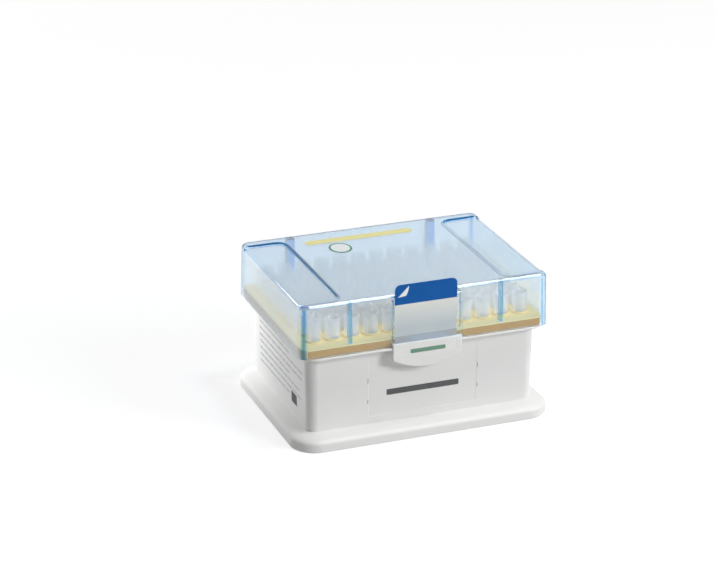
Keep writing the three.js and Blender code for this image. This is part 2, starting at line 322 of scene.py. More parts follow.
def finish_piece(obj, name, body, material, smooth_below=32):
    """Names a piece, smooths its arcs, gives it its finish and lets it ride on its body."""
    obj.name = name
    obj.data.name = name
    obj.data.polygons.foreach_set("use_smooth", [True] * len(obj.data.polygons))
    obj.data.set_sharp_from_angle(angle=math.radians(smooth_below))
    flat_first = obj.modifiers.new("flat faces first", "WEIGHTED_NORMAL")
    flat_first.keep_sharp = True
    if material:
        obj.data.materials.clear()
        obj.data.materials.append(material)
    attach(obj, body)
    print(f"{name}: {len(obj.data.polygons)} faces")
    return obj


# %% [markdown]
# ## Moulded surfaces
# No moulded face is one flat colour. Thickness, flow lines and the fine texture of the tool change
# its tone and its gloss a little. That effect is the same for every plastic here, so it is one
# node group with named inputs, placed in each material with that plastic's own values.

# %% Helpers for node trees
def group_socket(group, name, kind, in_out, default=None):
    socket = group.interface.new_socket(name=name, in_out=in_out, socket_type=kind)
    if default is not None:
        socket.default_value = default


def calculate(tree, operation, *values):
    """A Math node fed with sockets or plain numbers. Returns its result."""
    node = tree.nodes.new("ShaderNodeMath")
    node.operation = operation
    for socket, value in zip(node.inputs, values):
        if isinstance(value, bpy.types.NodeSocket):
            tree.links.new(value, socket)
        else:
            socket.default_value = value
    return node.outputs["Value"]


def largest_of(tree, sockets):
    return functools.reduce(lambda first, second: calculate(tree, "MAXIMUM", first, second), sockets)


# %% The surface group
def build_moulded_surface():
    """A node group: tone, roughness and fine height that change over a moulding."""
    group = bpy.data.node_groups.new("moulded surface", "ShaderNodeTree")
    group_socket(group, "Colour", "NodeSocketColor", "INPUT", (0.8, 0.8, 0.8, 1))
    group_socket(group, "Flow Colour", "NodeSocketColor", "INPUT", (0.7, 0.7, 0.7, 1))
    group_socket(group, "Flow Size", "NodeSocketFloat", "INPUT", 40)
    group_socket(group, "Roughness", "NodeSocketFloat", "INPUT", 0.4)
    group_socket(group, "Roughness Change", "NodeSocketFloat", "INPUT", 0.1)
    group_socket(group, "Grain Size", "NodeSocketFloat", "INPUT", 1500)
    group_socket(group, "Colour", "NodeSocketColor", "OUTPUT")
    group_socket(group, "Roughness", "NodeSocketFloat", "OUTPUT")
    group_socket(group, "Height", "NodeSocketFloat", "OUTPUT")
    nodes, links = group.nodes, group.links
    given = nodes.new("NodeGroupInput")
    result = nodes.new("NodeGroupOutput")
    place = nodes.new("ShaderNodeTexCoord")

    flow = nodes.new("ShaderNodeTexNoise")
    flow.inputs["Detail"].default_value = 3
    links.new(place.outputs["Object"], flow.inputs["Vector"])
    links.new(given.outputs["Flow Size"], flow.inputs["Scale"])
    tone = nodes.new("ShaderNodeMix")
    tone.data_type = "RGBA"
    links.new(flow.outputs["Fac"], tone.inputs["Factor"])
    links.new(given.outputs["Colour"], tone.inputs["A"])
    links.new(given.outputs["Flow Colour"], tone.inputs["B"])
    links.new(tone.outputs["Result"], result.inputs["Colour"])

    change, least = given.outputs["Roughness Change"], given.outputs["Roughness"]
    roughness = calculate(group, "MULTIPLY_ADD", flow.outputs["Fac"], change, least)
    links.new(roughness, result.inputs["Roughness"])
    grain = nodes.new("ShaderNodeTexNoise")
    grain.inputs["Detail"].default_value = 2
    links.new(place.outputs["Object"], grain.inputs["Vector"])
    links.new(given.outputs["Grain Size"], grain.inputs["Scale"])
    links.new(grain.outputs["Fac"], result.inputs["Height"])
    return group


moulded_surface = build_moulded_surface()
print("surface group has", len(moulded_surface.nodes), "nodes")

# %% [markdown]
# Clear plastic needs more than one tint. A second group tells from the way a face looks, and from
# where it lies, what kind of face it is: a level one, a rounded edge, a rib, a rib at the back, or
# the step round a recess. Its first four inputs say how level or how round a face has to be, and
# the others say where the ribs and the recesses are.

# %% The masks for kinds of faces
face_kind_inputs = {
    "Steepest": 0.4, "Nearly Level": 0.97, "Least Round": 0.06, "Full Round": 0.24,
    "Rib Reach": 0.05, "Rib Middle": 0.04, "Rib Depth": 0.004,
    "Recess Side": 0.0, "Recess Middle": 0.0, "Recess Half": 0.0, "Recess Corner": 0.0,
    "Step Middle": 0.0, "Step Half": 0.0, "Step Reach": 0.056, "Step Height": 0.07,
}


def recess_distance(maths, given, across, y):
    """How far a spot lies outside a recess's outline: a straight side with an arc at each end."""
    corner = given.outputs["Recess Corner"]
    arc_middle = maths("ADD", given.outputs["Recess Side"], corner)
    past_side = maths("SUBTRACT", arc_middle, across)
    from_middle = maths("ABSOLUTE", maths("SUBTRACT", y, given.outputs["Recess Middle"]))
    past_end = maths("SUBTRACT", from_middle, maths("SUBTRACT", given.outputs["Recess Half"], corner))
    squares = [maths("POWER", maths("MAXIMUM", past, 0.0), 2.0) for past in (past_side, past_end)]
    outside = maths("SQRT", maths("ADD", *squares))
    inside = maths("MINIMUM", maths("MAXIMUM", past_side, past_end), 0.0)
    return maths("SUBTRACT", maths("ADD", outside, inside), corner)


def ramp(group, value, low, high=None):
    """A smooth step from 0 at one value to 1 at another, or at 1."""
    node = group.nodes.new("ShaderNodeMapRange")
    node.interpolation_type = "SMOOTHSTEP"
    group.links.new(value, node.inputs["Value"])
    group.links.new(low, node.inputs["From Min"])
    if high:
        group.links.new(high, node.inputs["From Max"])
    return node.outputs["Result"]


def build_face_kinds():
    """A node group with a mask for each kind of face of the lid: 1 on such faces, 0 elsewhere."""
    group = bpy.data.node_groups.new("face kinds", "ShaderNodeTree")
    for name, default in face_kind_inputs.items():
        group_socket(group, name, "NodeSocketFloat", "INPUT", default)
    for name in ("Level", "Edge", "Rib", "Back Rib", "Step"):
        group_socket(group, name, "NodeSocketFloat", "OUTPUT")
    nodes, links = group.nodes, group.links
    maths = functools.partial(calculate, group)
    given = nodes.new("NodeGroupInput")
    result = nodes.new("NodeGroupOutput")
    place = nodes.new("ShaderNodeTexCoord")
    facing = nodes.new("ShaderNodeSeparateXYZ")
    links.new(place.outputs["Normal"], facing.inputs["Vector"])
    spot = nodes.new("ShaderNodeSeparateXYZ")
    links.new(place.outputs["Object"], spot.inputs["Vector"])

    sizes = [maths("ABSOLUTE", facing.outputs[axis]) for axis in "XYZ"]
    levelness = sizes[2]
    links.new(ramp(group, levelness, given.outputs["Steepest"]), result.inputs["Level"])
    turned_away = maths("SUBTRACT", 1.0, largest_of(group, sizes))
    edge = ramp(group, turned_away, given.outputs["Least Round"], given.outputs["Full Round"])
    upright = maths("SUBTRACT", 1.0, levelness)
    links.new(maths("MULTIPLY", edge, upright), result.inputs["Edge"])

    across = maths("ABSOLUTE", spot.outputs["X"])
    along = maths("ABSOLUTE", spot.outputs["Y"])
    at_rib = maths(
        "MULTIPLY",
        maths("LESS_THAN", across, given.outputs["Rib Reach"]),
        maths("COMPARE", along, given.outputs["Rib Middle"], given.outputs["Rib Depth"]),
    )
    rib = maths("MULTIPLY", at_rib, maths("LESS_THAN", levelness, given.outputs["Nearly Level"]))
    links.new(rib, result.inputs["Rib"])
    at_back = maths("GREATER_THAN", spot.outputs["Y"], 0.0)
    links.new(maths("MULTIPLY", rib, at_back), result.inputs["Back Rib"])

    distance = recess_distance(maths, given, across, spot.outputs["Y"])
    on_step = maths("COMPARE", distance, given.outputs["Step Middle"], given.outputs["Step Half"])
    in_roof = maths(
        "MULTIPLY",
        maths("LESS_THAN", across, given.outputs["Step Reach"]),
        maths("GREATER_THAN", spot.outputs["Z"], given.outputs["Step Height"]),
    )
    links.new(maths("MULTIPLY", on_step, in_roof), result.inputs["Step"])
    return group


face_kinds = build_face_kinds()
print("face kinds group has", len(face_kinds.nodes), "nodes")


# %% A material with that surface
def srgb(red, green, blue):
    """A colour written 0 to 255, as Blender's linear values."""
    def linear(value):
        share = value / 255
        return share / 12.92 if share <= 0.04045 else ((share + 0.055) / 1.055) ** 2.4
    return (linear(red), linear(green), linear(blue), 1)


def plastic(name, colour, flow_colour, roughness, grain_depth, **surface):
    """A Principled material fed by the surface group. Returns the material and its shader."""
    material = bpy.data.materials.new(name)
    material.use_nodes = True
    nodes, links = material.node_tree.nodes, material.node_tree.links
    shader = nodes["Principled BSDF"]
    group = nodes.new("ShaderNodeGroup")
    group.node_tree = moulded_surface
    group.inputs["Colour"].default_value = colour
    group.inputs["Flow Colour"].default_value = flow_colour
    group.inputs["Roughness"].default_value = roughness
    for socket, value in surface.items():
        group.inputs[socket.replace("_", " ").title()].default_value = value
    links.new(group.outputs["Colour"], shader.inputs["Base Color"])
    links.new(group.outputs["Roughness"], shader.inputs["Roughness"])
    bump = nodes.new("ShaderNodeBump")
    bump.inputs["Strength"].default_value = 0.4
    bump.inputs["Distance"].default_value = grain_depth * MM
    links.new(group.outputs["Height"], bump.inputs["Height"])
    links.new(bump.outputs["Normal"], shader.inputs["Normal"])
    return material, shader


# %% Light that passes a material
def let_light_pass(material, shader, share, with_dull_rays=False):
    """Lets a share of the light that carries shadows pass straight through a material."""
    tree = material.node_tree
    nodes, links = tree.nodes, tree.links
    path = nodes.new("ShaderNodeLightPath")
    passes = calculate(tree, "MULTIPLY", path.outputs["Is Shadow Ray"], share)
    if with_dull_rays:
        passes = largest_of(tree, (passes, path.outputs["Is Diffuse Ray"]))
    open_shader = nodes.new("ShaderNodeBsdfTransparent")
    choice = nodes.new("ShaderNodeMixShader")
    links.new(passes, choice.inputs["Fac"])
    links.new(shader.outputs["BSDF"], choice.inputs[1])
    links.new(open_shader.outputs["BSDF"], choice.inputs[2])
    links.new(choice.outputs["Shader"], nodes["Material Output"].inputs["Surface"])


# %% [markdown]
# ## The white base
# One moulding: a drafted tub, a shelf round its top that carries the tray and the lid, and a wide
# foot that rolls out at the bottom. Its skin is one profile taken round the box, from the cap
# under the floor, over the foot, up the wall, round the shelf and down inside.

# %% White plastic
white_plastic, white_shader = plastic(
    "white plastic", srgb(233, 233, 231), srgb(227, 228, 227), 0.36, 0.02,
    roughness_change=0.1, flow_size=25, grain_size=1800,
)
white_shader.inputs["Subsurface Weight"].default_value = 0.12
white_shader.inputs["Subsurface Radius"].default_value = (1.0, 0.9, 0.8)
white_shader.inputs["Subsurface Scale"].default_value = 0.0015

# %% The base's skin
base_wall = 1.4
base_corner = 5.2
floor_top = 4.8
shelf_thickness = 1.1
shelf_overhang = 4.2
shelf_inset = 0.3
foot_height = 6.9
foot_edge = 2.6
foot_swell = 0.26
foot_ring = 3.6
foot_recess = 3.0
foot_round = 0.5

wall_x = lid_x - shelf_inset - shelf_overhang
wall_y = lid_y - shelf_inset - shelf_overhang
shelf_bottom = shelf_top - shelf_thickness
foot_out = foot_x - wall_x
ring_in = foot_out - foot_ring


def foot_roll():
    """The foot's upper side: steep at its edge and nearly flat where it meets the wall."""
    steps = 14
    spread = foot_out - (-draft + 0.4)
    for step in range(1, steps):
        share = (step / steps) ** 3
        yield foot_out - spread * share, foot_edge + (foot_height - foot_edge) * share ** foot_swell


base_profile = rounded_line([
    (ring_in - 8, foot_recess, 0),
    (ring_in, foot_recess, 0.4),
    (ring_in, 0, 0.5),
    (foot_out, 0, foot_round),
    (foot_out, foot_edge, 0),
])
base_profile += list(foot_roll())
base_profile += rounded_line([
    (-draft + 0.4, foot_height, 0),
    (-draft, foot_height + 0.1, 0),
    (0, shelf_bottom, 0.5),
    (lid_x - shelf_inset - wall_x, shelf_bottom, 0.25),
    (lid_x - shelf_inset - wall_x, shelf_top, 0.3),
    (-base_wall, shelf_top, 0.3),
    (-draft - base_wall, floor_top, 1.2),
    (-draft - base_wall - 8, floor_top, 0),
])
base = skin("base", wall_x, wall_y, base_corner, base_profile)
print("base wall", round(wall_x, 1), "x", round(wall_y, 1))

# %% [markdown]
# The front wall has a shallow panel, hardly deeper than a sheet of paper, with two small notches in
# each of its side edges. Above it sits the catch: a boss with a bowed lower edge that carries the
# lid's tab, and a nose that the tab snaps over.

# %% Front panel, catch boss and nose
panel_half = 26.4
panel_depth = 0.12
panel_margin = 3.2
panel_corner = 1.5
panel_edge = 0.6
notch_corner = 0.2
notch_edge = 0.1
notch_width = 0.55
notch_depth = 0.5
notch_heights = [(17.0, 19.0), (26.9, 29.3)]
tab_half = 16.9
tab_face = lid_low.y
tab_bottom = rim + 2.1
catch_gap = 0.3
boss_height = 8.2
boss_drop = 4.7
nose_half = 10.0
nose_thickness = 1.0
lid_wall = 1.2
nose_face = -(lid_y - lid_wall - catch_gap)
boss_top = tab_bottom - catch_gap
boss_face = tab_face + catch_gap
wall_low_y = wall_y - draft


def catch_boss():
    half = tab_half - catch_gap
    side_bottom = boss_top - boss_height
    steps = 28
    outline = [Vector((half, boss_top)), Vector((-half, boss_top))]
    for step in range(steps + 1):
        share = step / steps * 2 - 1
        outline.append(Vector((share * half, side_bottom - boss_drop * (1 - share * share))))
    return plate("boss", "y", outline, boss_face, -(wall_low_y - base_wall / 2), low_round=0.7)


def wall_lean(z):
    """How far the base's wall leans out at a height."""
    return draft * (z - foot_height) / (shelf_bottom - foot_height)


def cut_front(outline, depth, edge):
    """Cuts a shape into the front wall to an even depth, though the wall leans."""
    cutter = plate("front cutter", "y", outline, -wall_y - 1, -(wall_low_y - depth), high_round=edge)
    for vertex in cutter.data.vertices:
        vertex.co.y -= wall_lean(vertex.co.z / MM) * MM
    cut(base, cutter)


panel_low = foot_height + panel_margin
panel_high = shelf_bottom - panel_margin
panel_outline = rounded_box_outline(-panel_half, panel_half, panel_low, panel_high, panel_corner)
cut_front(panel_outline, panel_depth, panel_edge)
for side in (-1, 1):
    for notch_low, notch_high in notch_heights:
        near = side * panel_half - notch_width / 2
        notch_outline = rounded_box_outline(near, near + notch_width, notch_low, notch_high, notch_corner)
        cut_front(notch_outline, notch_depth, notch_edge)
boss = cut(catch_boss(), block("behind", -tab_half, tab_half, nose_face, 0, shelf_top, boss_top + 1))
nose = plate(
    "nose", "y",
    rounded_box_outline(-nose_half, nose_half, shelf_top - 0.5, base_high.z, 0.4),
    nose_face, nose_face + nose_thickness, low_round=0.3, high_round=0.3,
)
join(base, boss, nose)

# %% [markdown]
# At the back, two hinges are moulded in: a pair of ears each, with a pin between them, and a slot
# in the shelf for the lid's knuckle.

# %% Hinge ears and pins
hinge_x = 35.0
knuckle_length = 8.0
pin_gap = 0.3
ear_thickness = 2.0
ear_radius = 2.1
pin_radius = 1.05
knuckle_wall = 0.75
axis_y = lid_y + 0.2
axis_z = shelf_top - 2.3
ear_drop = 8.0


def ear_outline():
    inside = wall_y - draft - base_wall / 2
    outline = [Vector((inside, shelf_bottom)), Vector((inside, shelf_bottom - ear_drop))]
    outline.append(Vector((wall_y, shelf_bottom - ear_drop)))
    steps = 16
    for step in range(steps + 1):
        angle = (-0.35 + 0.85 * step / steps) * math.pi
        y = axis_y + ear_radius * math.cos(angle)
        z = axis_z + ear_radius * math.sin(angle)
        outline.append(Vector((y, z)))
    outline.append(Vector((lid_y - 2 * shelf_inset, axis_z + ear_radius)))
    return outline


def base_hinge(middle):
    """The ears and the pin of one hinge."""
    reach = knuckle_length / 2 + pin_gap
    parts = []
    for side in (-1, 1):
        near = middle + side * reach
        far = near + side * ear_thickness
        parts.append(plate("ear", "x", ear_outline(), min(near, far), max(near, far), 0.3, 0.3))
    pin_half = reach + ear_thickness / 2
    parts.append(rod("pin", pin_radius, middle - pin_half, middle + pin_half, axis_y, axis_z))
    return parts


for side in (-1, 1):
    reach = knuckle_length / 2 + pin_gap
    slot_front = axis_y - pin_radius - knuckle_wall - 2 * pin_gap
    cut(base, block(
        "slot", side * hinge_x - reach, side * hinge_x + reach,
        slot_front, foot_y, shelf_bottom - 1, shelf_top + 1,
    ))
    join(base, *base_hinge(side * hinge_x))
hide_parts("base_shell")
finish_piece(base, "base_shell_skin", "base", white_plastic)

# %% [markdown]
# ## The yellow tray
# A plate with a short skirt and ninety-six holes. Each hole has a low collar, which keeps the tips
# upright. All the collars are joined in one step and all the holes are cut in one step, because
# solids that don't touch each other can be handled as one mesh.

# %% Yellow plastic and the tray
yellow_plastic, yellow_shader = plastic(
    "yellow plastic", srgb(250, 222, 154), srgb(246, 216, 144), 0.4, 0.02,
    roughness_change=0.1, flow_size=60, grain_size=1600,
)

tip_columns = 12
tip_rows = 8
tip_pitch = 9.0
tray_wall = 1.2
tray_plate = 1.5
tray_corner = 3.2
collar_radius = 3.95
collar_height = 0.7
hole_radius = 3.0


def tip_places():
    for row in range(tip_rows):
        for column in range(tip_columns):
            x = (column - (tip_columns - 1) / 2) * tip_pitch
            y = (row - (tip_rows - 1) / 2) * tip_pitch
            yield row, column, x, y


def turned(name, profile, x, y, z, sides, ribs=None):
    """A solid turned about an upright axis: profile lists (radius, height), closed at both ends."""
    rings = []
    for radius, height in profile:
        ring = []
        for k in range(sides):
            angle = 2 * math.pi * k / sides
            reach = radius + (ribs(height, k) if ribs else 0)
            ring.append((x + reach * math.cos(angle), y + reach * math.sin(angle), z + height))
        rings.append(ring)
    return loft(name, rings)


def all_places(name, profile, z, sides):
    return merge_islands(name, [turned(name, profile, x, y, z, sides) for _, _, x, y in tip_places()])


tray_profile = rounded_line([
    (-tray_wall - 8, tray_top - tray_plate, 0),
    (-tray_wall, tray_top - tray_plate, 0.3),
    (-tray_wall, tray_seat, 0.25),
    (0, tray_seat, 0.3),
    (0, tray_top, 0.5),
    (-8, tray_top, 0),
])
tray = skin("tray", tray_x, tray_y, tray_corner, tray_profile)
collar_profile = [
    (collar_radius, -tray_plate / 2),
    (collar_radius, collar_height - 0.3),
    (collar_radius - 0.1, collar_height - 0.1),
    (collar_radius - 0.3, collar_height),
]
hole_profile = [(hole_radius, -tray_plate - 1), (hole_radius, collar_height + 1)]
join(tray, all_places("collars", collar_profile, tray_top, 24))
cut(tray, all_places("holes", hole_profile, tray_top, 24))
notch = nose_half + catch_gap
notch_back = nose_face + nose_thickness + catch_gap
cut(tray, block("notch", -notch, notch, -tray_y - 1, notch_back, tray_seat - 1, tray_top + 1))
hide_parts("tip_tray")
finish_piece(tray, "tray", "base", yellow_plastic)

# %% [markdown]
# The skirt is thin and the plate isn't. Its faces take a finish of their own: a deeper tan,
# painted shade that makes the tray's upright sides darker than its top.

# %% The tray's skirt, in painted shade
# painted shade: the skirt's upright faces take a darker tan than the tray's top
skirt_painted_shade, _ = plastic(
    "yellow skirt painted shade", srgb(210, 152, 54), srgb(200, 140, 48), 0.4, 0.02,
    roughness_change=0.1, flow_size=60, grain_size=1600,
)
tray.data.materials.append(skirt_painted_shade)
skirt_depth = 0.2
rim_height = 0.25
for face in tray.data.polygons:
    middle = face.center / MM
    at_side = abs(middle.x) > tray_x - skirt_depth or abs(middle.y) > tray_y - skirt_depth
    if at_side and middle.z < tray_top - rim_height:
        face.material_index = 1
print("skirt faces:", sum(face.material_index for face in tray.data.polygons))

# %% [markdown]
# ## Ninety-six tips
# A tip is a long hollow cone: a ribbed collar that stands on the tray, a shoulder, and a barrel
# that narrows to its end. It is turned like a vase, down the outside and back up the bore, so the
# wall is really there. The plastic is natural and thin, half see-through: its alpha says how much
# of what lies behind shows. Real tips also scatter light on to each other, which would take very
# many bounces to work out, so most of a lamp's light may pass them, as if it had been scattered.

# %% Tip plastic
tip_plastic, tip_shader = plastic(
    "tip plastic", srgb(248, 245, 251), srgb(244, 241, 247), 0.45, 0.01,
    roughness_change=0.12, flow_size=200, grain_size=2500,
)
tip_shader.inputs["Alpha"].default_value = 0.4
tip_shader.inputs["IOR"].default_value = 1.49
tip_shader.inputs["Specular IOR Level"].default_value = 0.1
tip_shader.inputs["Subsurface Weight"].default_value = 1.0
tip_shader.inputs["Subsurface Radius"].default_value = (1.0, 1.0, 1.0)
tip_shader.inputs["Subsurface Scale"].default_value = 0.012
let_light_pass(tip_plastic, tip_shader, 0.97)

# %% The tips
tip_sides = 24
tip_length = tip_top - tip_end
tip_collar = tip_length - tip_stand
rib_count = 8
rib_height = 0.22

tip_outside = [
    (0.42, 0.0), (0.52, 0.3), (0.75, 4.0), (1.3, 15.0), (2.1, 33.0), (2.55, tip_collar - 1.2),
    (2.62, tip_collar - 0.1), (3.25, tip_collar + 0.75), (3.3, tip_collar + 1.2), (3.36, tip_length - 2.2),
    (3.4, tip_length - 1.6), (3.6, tip_length - 1.3), (3.62, tip_length - 0.3), (3.52, tip_length),
]
tip_bore = [
    (2.85, tip_length), (2.7, tip_length - 0.5), (2.45, tip_collar + 1.5), (2.05, tip_collar - 1.5),
    (1.6, 33.0), (0.85, 15.0), (0.35, 4.0), (0.25, 0.0),
]


def collar_ribs(height, k):
    """Small upright ribs round the tip's collar."""
    on_collar = tip_collar + 1 < height < tip_length - 2
    return rib_height if on_collar and k % (tip_sides // rib_count) == 0 else 0


def closed_tube(name, profile, x, y, z, sides, ribs):
    """A hollow turned solid: the profile runs up the outside, down the bore and back to its start."""
    tube = turned(name, profile, x, y, z, sides, ribs)
    made = bmesh.new()
    made.from_mesh(tube.data)
    caps = [face for face in made.faces if len(face.verts) == sides]
    bmesh.ops.delete(made, geom=caps, context="FACES_ONLY")
    open_edges = [edge for edge in made.edges if edge.is_boundary]
    bmesh.ops.bridge_loops(made, edges=open_edges)
    bmesh.ops.recalc_face_normals(made, faces=made.faces)
    made.to_mesh(tube.data)
    made.free()
    return tube


for row in range(tip_rows):
    tips = [
        closed_tube("tip", tip_outside + tip_bore, x, y, tip_end, tip_sides, collar_ribs)
        for tip_row, _, x, y in tip_places() if tip_row == row
    ]
    row_of_tips = merge_islands("tips", tips)
    finish_piece(row_of_tips, f"tips_row_{'abcdefgh'[row]}", "base", tip_plastic, 40)

# %% [markdown]
# ## The clear blue lid
# Clear plastic shows its thickness: light that runs along a wall comes out a stronger blue than
# light that crosses it. So part of the tint is in the volume, and the lid is one closed skin with
# real walls. The rest is on the surface and goes by the kind of face: light on the roof, stronger
# on the front ribs and the rounded edges, and darkest on the back ribs and the steps round the
# recesses. On the steps that darkest blue is partly the plastic's tint along the step's wall and
# partly painted shade, which draws the dark lines that light bending through a step makes. Seen at
# a slant, clear plastic mirrors more than it lets through, so the edges and the back ribs tint what
# they mirror as well; the steps' mirrored light is darkened, which is painted shade too. The walls
# are slightly rough under a smooth coat, which softens what stands behind them. Lamps wouldn't
# reach the tips through glass, so rays from lamps, and rays between dull surfaces, take a plain
# transparent shader instead.

# %% Clear blue plastic
clear_blue, clear_shader = plastic(
    "clear blue plastic", (1, 0.995, 1, 1), (0.99, 0.98, 0.99, 1), 0.12, 0.01,
    roughness_change=0.04, flow_size=30, grain_size=300,
)
clear_shader.inputs["Transmission Weight"].default_value = 1.0
clear_shader.inputs["IOR"].default_value = 1.46
clear_shader.inputs["Coat Weight"].default_value = 1.0
clear_shader.inputs["Coat Roughness"].default_value = 0.02
clear_shader.inputs["Coat IOR"].default_value = 1.46
let_light_pass(clear_blue, clear_shader, 1.0, with_dull_rays=True)

clear_nodes, clear_links = clear_blue.node_tree.nodes, clear_blue.node_tree.links
tint = clear_nodes.new("ShaderNodeVolumeAbsorption")
tint.inputs["Color"].default_value = (0.0, 0.61, 0.91, 1)
tint.inputs["Density"].default_value = 110
clear_links.new(tint.outputs["Volume"], clear_nodes["Material Output"].inputs["Volume"])

# %% Finishes by kind of face
kinds = clear_nodes.new("ShaderNodeGroup")
kinds.node_tree = face_kinds


def change_by_kind(socket, kind, value):
    """Leads a socket's value over to another one on faces of a kind."""
    change = clear_nodes.new("ShaderNodeMix")
    if socket.type == "RGBA":
        change.data_type = "RGBA"
    if socket.is_linked:
        clear_links.new(socket.links[0].from_socket, change.inputs["A"])
    else:
        change.inputs["A"].default_value = socket.default_value
    clear_links.new(kinds.outputs[kind], change.inputs["Factor"])
    change.inputs["B"].default_value = value
    clear_links.new(change.outputs["Result"], socket)


for socket_name, kind, value in (
    ("Base Color", "Level", (0.68, 0.77, 0.865, 1)),
    ("Base Color", "Rib", (0.2, 0.56, 0.9, 1)),
    ("Base Color", "Back Rib", (0.004, 0.18, 0.68, 1)),
    # painted shade: the steps' dark blue draws the dark lines that light bending through a step makes
    ("Base Color", "Step", (0.03, 0.16, 0.34, 1)),
    ("Base Color", "Edge", (0.09, 0.44, 0.84, 1)),
    ("Roughness", "Level", 0.13),
    ("Roughness", "Edge", 0.03),
    ("Roughness", "Step", 0.3),
    ("Coat Weight", "Step", 0.0),
    # painted shade: the steps mirror a darkened blue
    ("Specular Tint", "Step", (0.07, 0.24, 0.45, 1)),
    ("Specular Tint", "Edge", (0.26, 0.56, 0.88, 1)),
    ("Specular Tint", "Back Rib", (0.06, 0.34, 0.8, 1)),
):
    change_by_kind(clear_shader.inputs[socket_name], kind, value)
print("the clear blue plastic changes with the kind of face:", len(clear_nodes), "nodes")

# %% [markdown]
# The lid's outside is a low body over the whole box and a plateau on it. The plateau leaves a
# recess at each end, where the foot of another box stands. The space inside is made the same way,
# one wall smaller, and cut out.

# %% The lid's outside and inside
lid_roof = 1.2
lid_corner = 4.4
corner_thickening = 0.9
lid_edge = 2.0
inside_edge = 1.2
recess_depth = 0.9
recess_width = 19.4
recess_front = 5.4
recess_back = 6.4
recess_corner = 4.6
recess_edge = 0.44
recess_floor = lid_top - recess_depth
roof_bottom = lid_top - lid_roof
far_out = 20.0


def drafted(name, inward, low, high, edge):
    """A solid as wide as the lid less a wall, up to a height, with its top edge rounded."""
    corner = lid_corner + (corner_thickening if inward else 0)
    lean = draft * (high - rim) / (lid_top - rim)
    profile = rounded_line([
        (-inward + draft * (rim - low) / (lid_top - rim), low, 0),
        (-inward - lean, high, edge),
        (-inward - lean - edge - 1, high, 0),
    ], steps=6)
    return skin(name, lid_x, lid_y, corner, profile)


def end_cutter(side, grow, floor, top, edge):
    """Cuts the plateau away over one end's recess, leaving a rounded step."""
    x0 = lid_x - draft - recess_width - grow
    y0 = -(lid_y - draft - recess_front) - grow
    y1 = lid_y - draft - recess_back + grow
    middle = (side * (x0 + far_out + lid_x) / 2, (y0 + y1) / 2)
    bend = rounded_line([
        (-2 * edge, floor - 0.01, 0), (0, floor - 0.01, edge), (0, top, edge), (2 * edge, top, 0),
    ])[1:]
    profile = [Vector((-edge, rim - 3)), *bend, Vector((2 * edge, top + 1))]
    half_x = (far_out + lid_x - x0) / 2
    return skin("end cutter", half_x, (y1 - y0) / 2, recess_corner + grow, profile, middle)


def stepped(name, inward, low, floor, top, grow, edge, step_edge):
    """A low body joined with a plateau that leaves both ends free."""
    plateau = drafted(name, inward, low, top, edge)
    for side in (-1, 1):
        cut(plateau, end_cutter(side, grow, floor, top, step_edge))
    return join(drafted(name, inward, low, floor, edge), plateau)


lid = stepped("lid", 0, rim, recess_floor, lid_top, 0, lid_edge, recess_edge)
inside = stepped(
    "inside", lid_wall, rim - 1, recess_floor - lid_roof, roof_bottom, lid_wall, inside_edge, recess_edge,
)
print("lid roof from", round(roof_bottom, 1), "to", round(lid_top, 1))

# %% [markdown]
# The latch tab stands proud of the front wall, with a thick lip at its lower end and a hollow
# behind it. Ribs inside the lid keep the tips down: narrow ones in front, broad ones at the back.

# %% Tab, ribs and knuckles
tab_lip = 3.4
tab_wall = 1.2
front_rib_x = 4 * tip_pitch
front_rib_width = 1.7
back_rib_width = 3.6
front_rib_depth = 1.9
back_rib_depth = 4.0
rib_low = tray_top + 0.9
inner_y = lid_y - draft - lid_wall


def rib(x, width, y0, y1):
    outline = rounded_box_outline(x - width / 2, x + width / 2, y0, y1, 0.2 * width)
    return plate("rib", "z", outline, rib_low, roof_bottom + lid_roof / 2, low_round=0.3)


tab = plate(
    "tab", "y",
    rounded_box_outline(-tab_half, tab_half, tab_bottom, lid_top - lid_edge, 0.8),
    tab_face, -(lid_y - lid_wall), low_round=0.75,
)
hollow = plate(
    "hollow", "y",
    rounded_box_outline(-tab_half + tab_wall, tab_half - tab_wall, tab_bottom + tab_lip, roof_bottom, 0.6),
    tab_face + tab_wall, -inner_y + 1,
)
notch_below = block("notch", -tab_half, tab_half, tab_face - 1, -tray_y, rim - 1, tab_bottom)
join(lid, tab)
cut(lid, inside, hollow, notch_below)
for side in (-1, 1):
    join(
        lid,
        rib(side * front_rib_x, front_rib_width, -lid_y + lid_wall / 2, -inner_y + front_rib_depth),
        rib(side * hinge_x, back_rib_width, inner_y - back_rib_depth, lid_y - lid_wall / 2),
    )


def add_knuckle(middle):
    """The lid's half of one hinge: a web down from the wall and a barrel with the pin's bore."""
    half = knuckle_length / 2
    outer = pin_radius + pin_gap + knuckle_wall
    wall_face = lid_y - lid_wall / 2
    web_outline = [
        Vector((wall_face, axis_z)), Vector((axis_y + outer, axis_z)),
        Vector((axis_y + outer, rim + lid_wall)), Vector((wall_face, rim + 6)),
    ]
    join(lid, plate("web", "x", web_outline, middle - half, middle + half, 0.3, 0.3))
    join(lid, rod("barrel", outer, middle - half, middle + half, axis_y, axis_z))
    cut(lid, rod("bore", pin_radius + pin_gap, middle - half - 1, middle + half + 1, axis_y, axis_z))


for side in (-1, 1):
    add_knuckle(side * hinge_x)
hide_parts("lid")
finish_piece(lid, "lid_shell", "lid", clear_blue)

# %% [markdown]
# Now that the ribs and the recesses have their places, the material's masks get them too. The mask
# for a step runs from its rounded foot, over the upright part, to a little past its rounded upper
# edge.

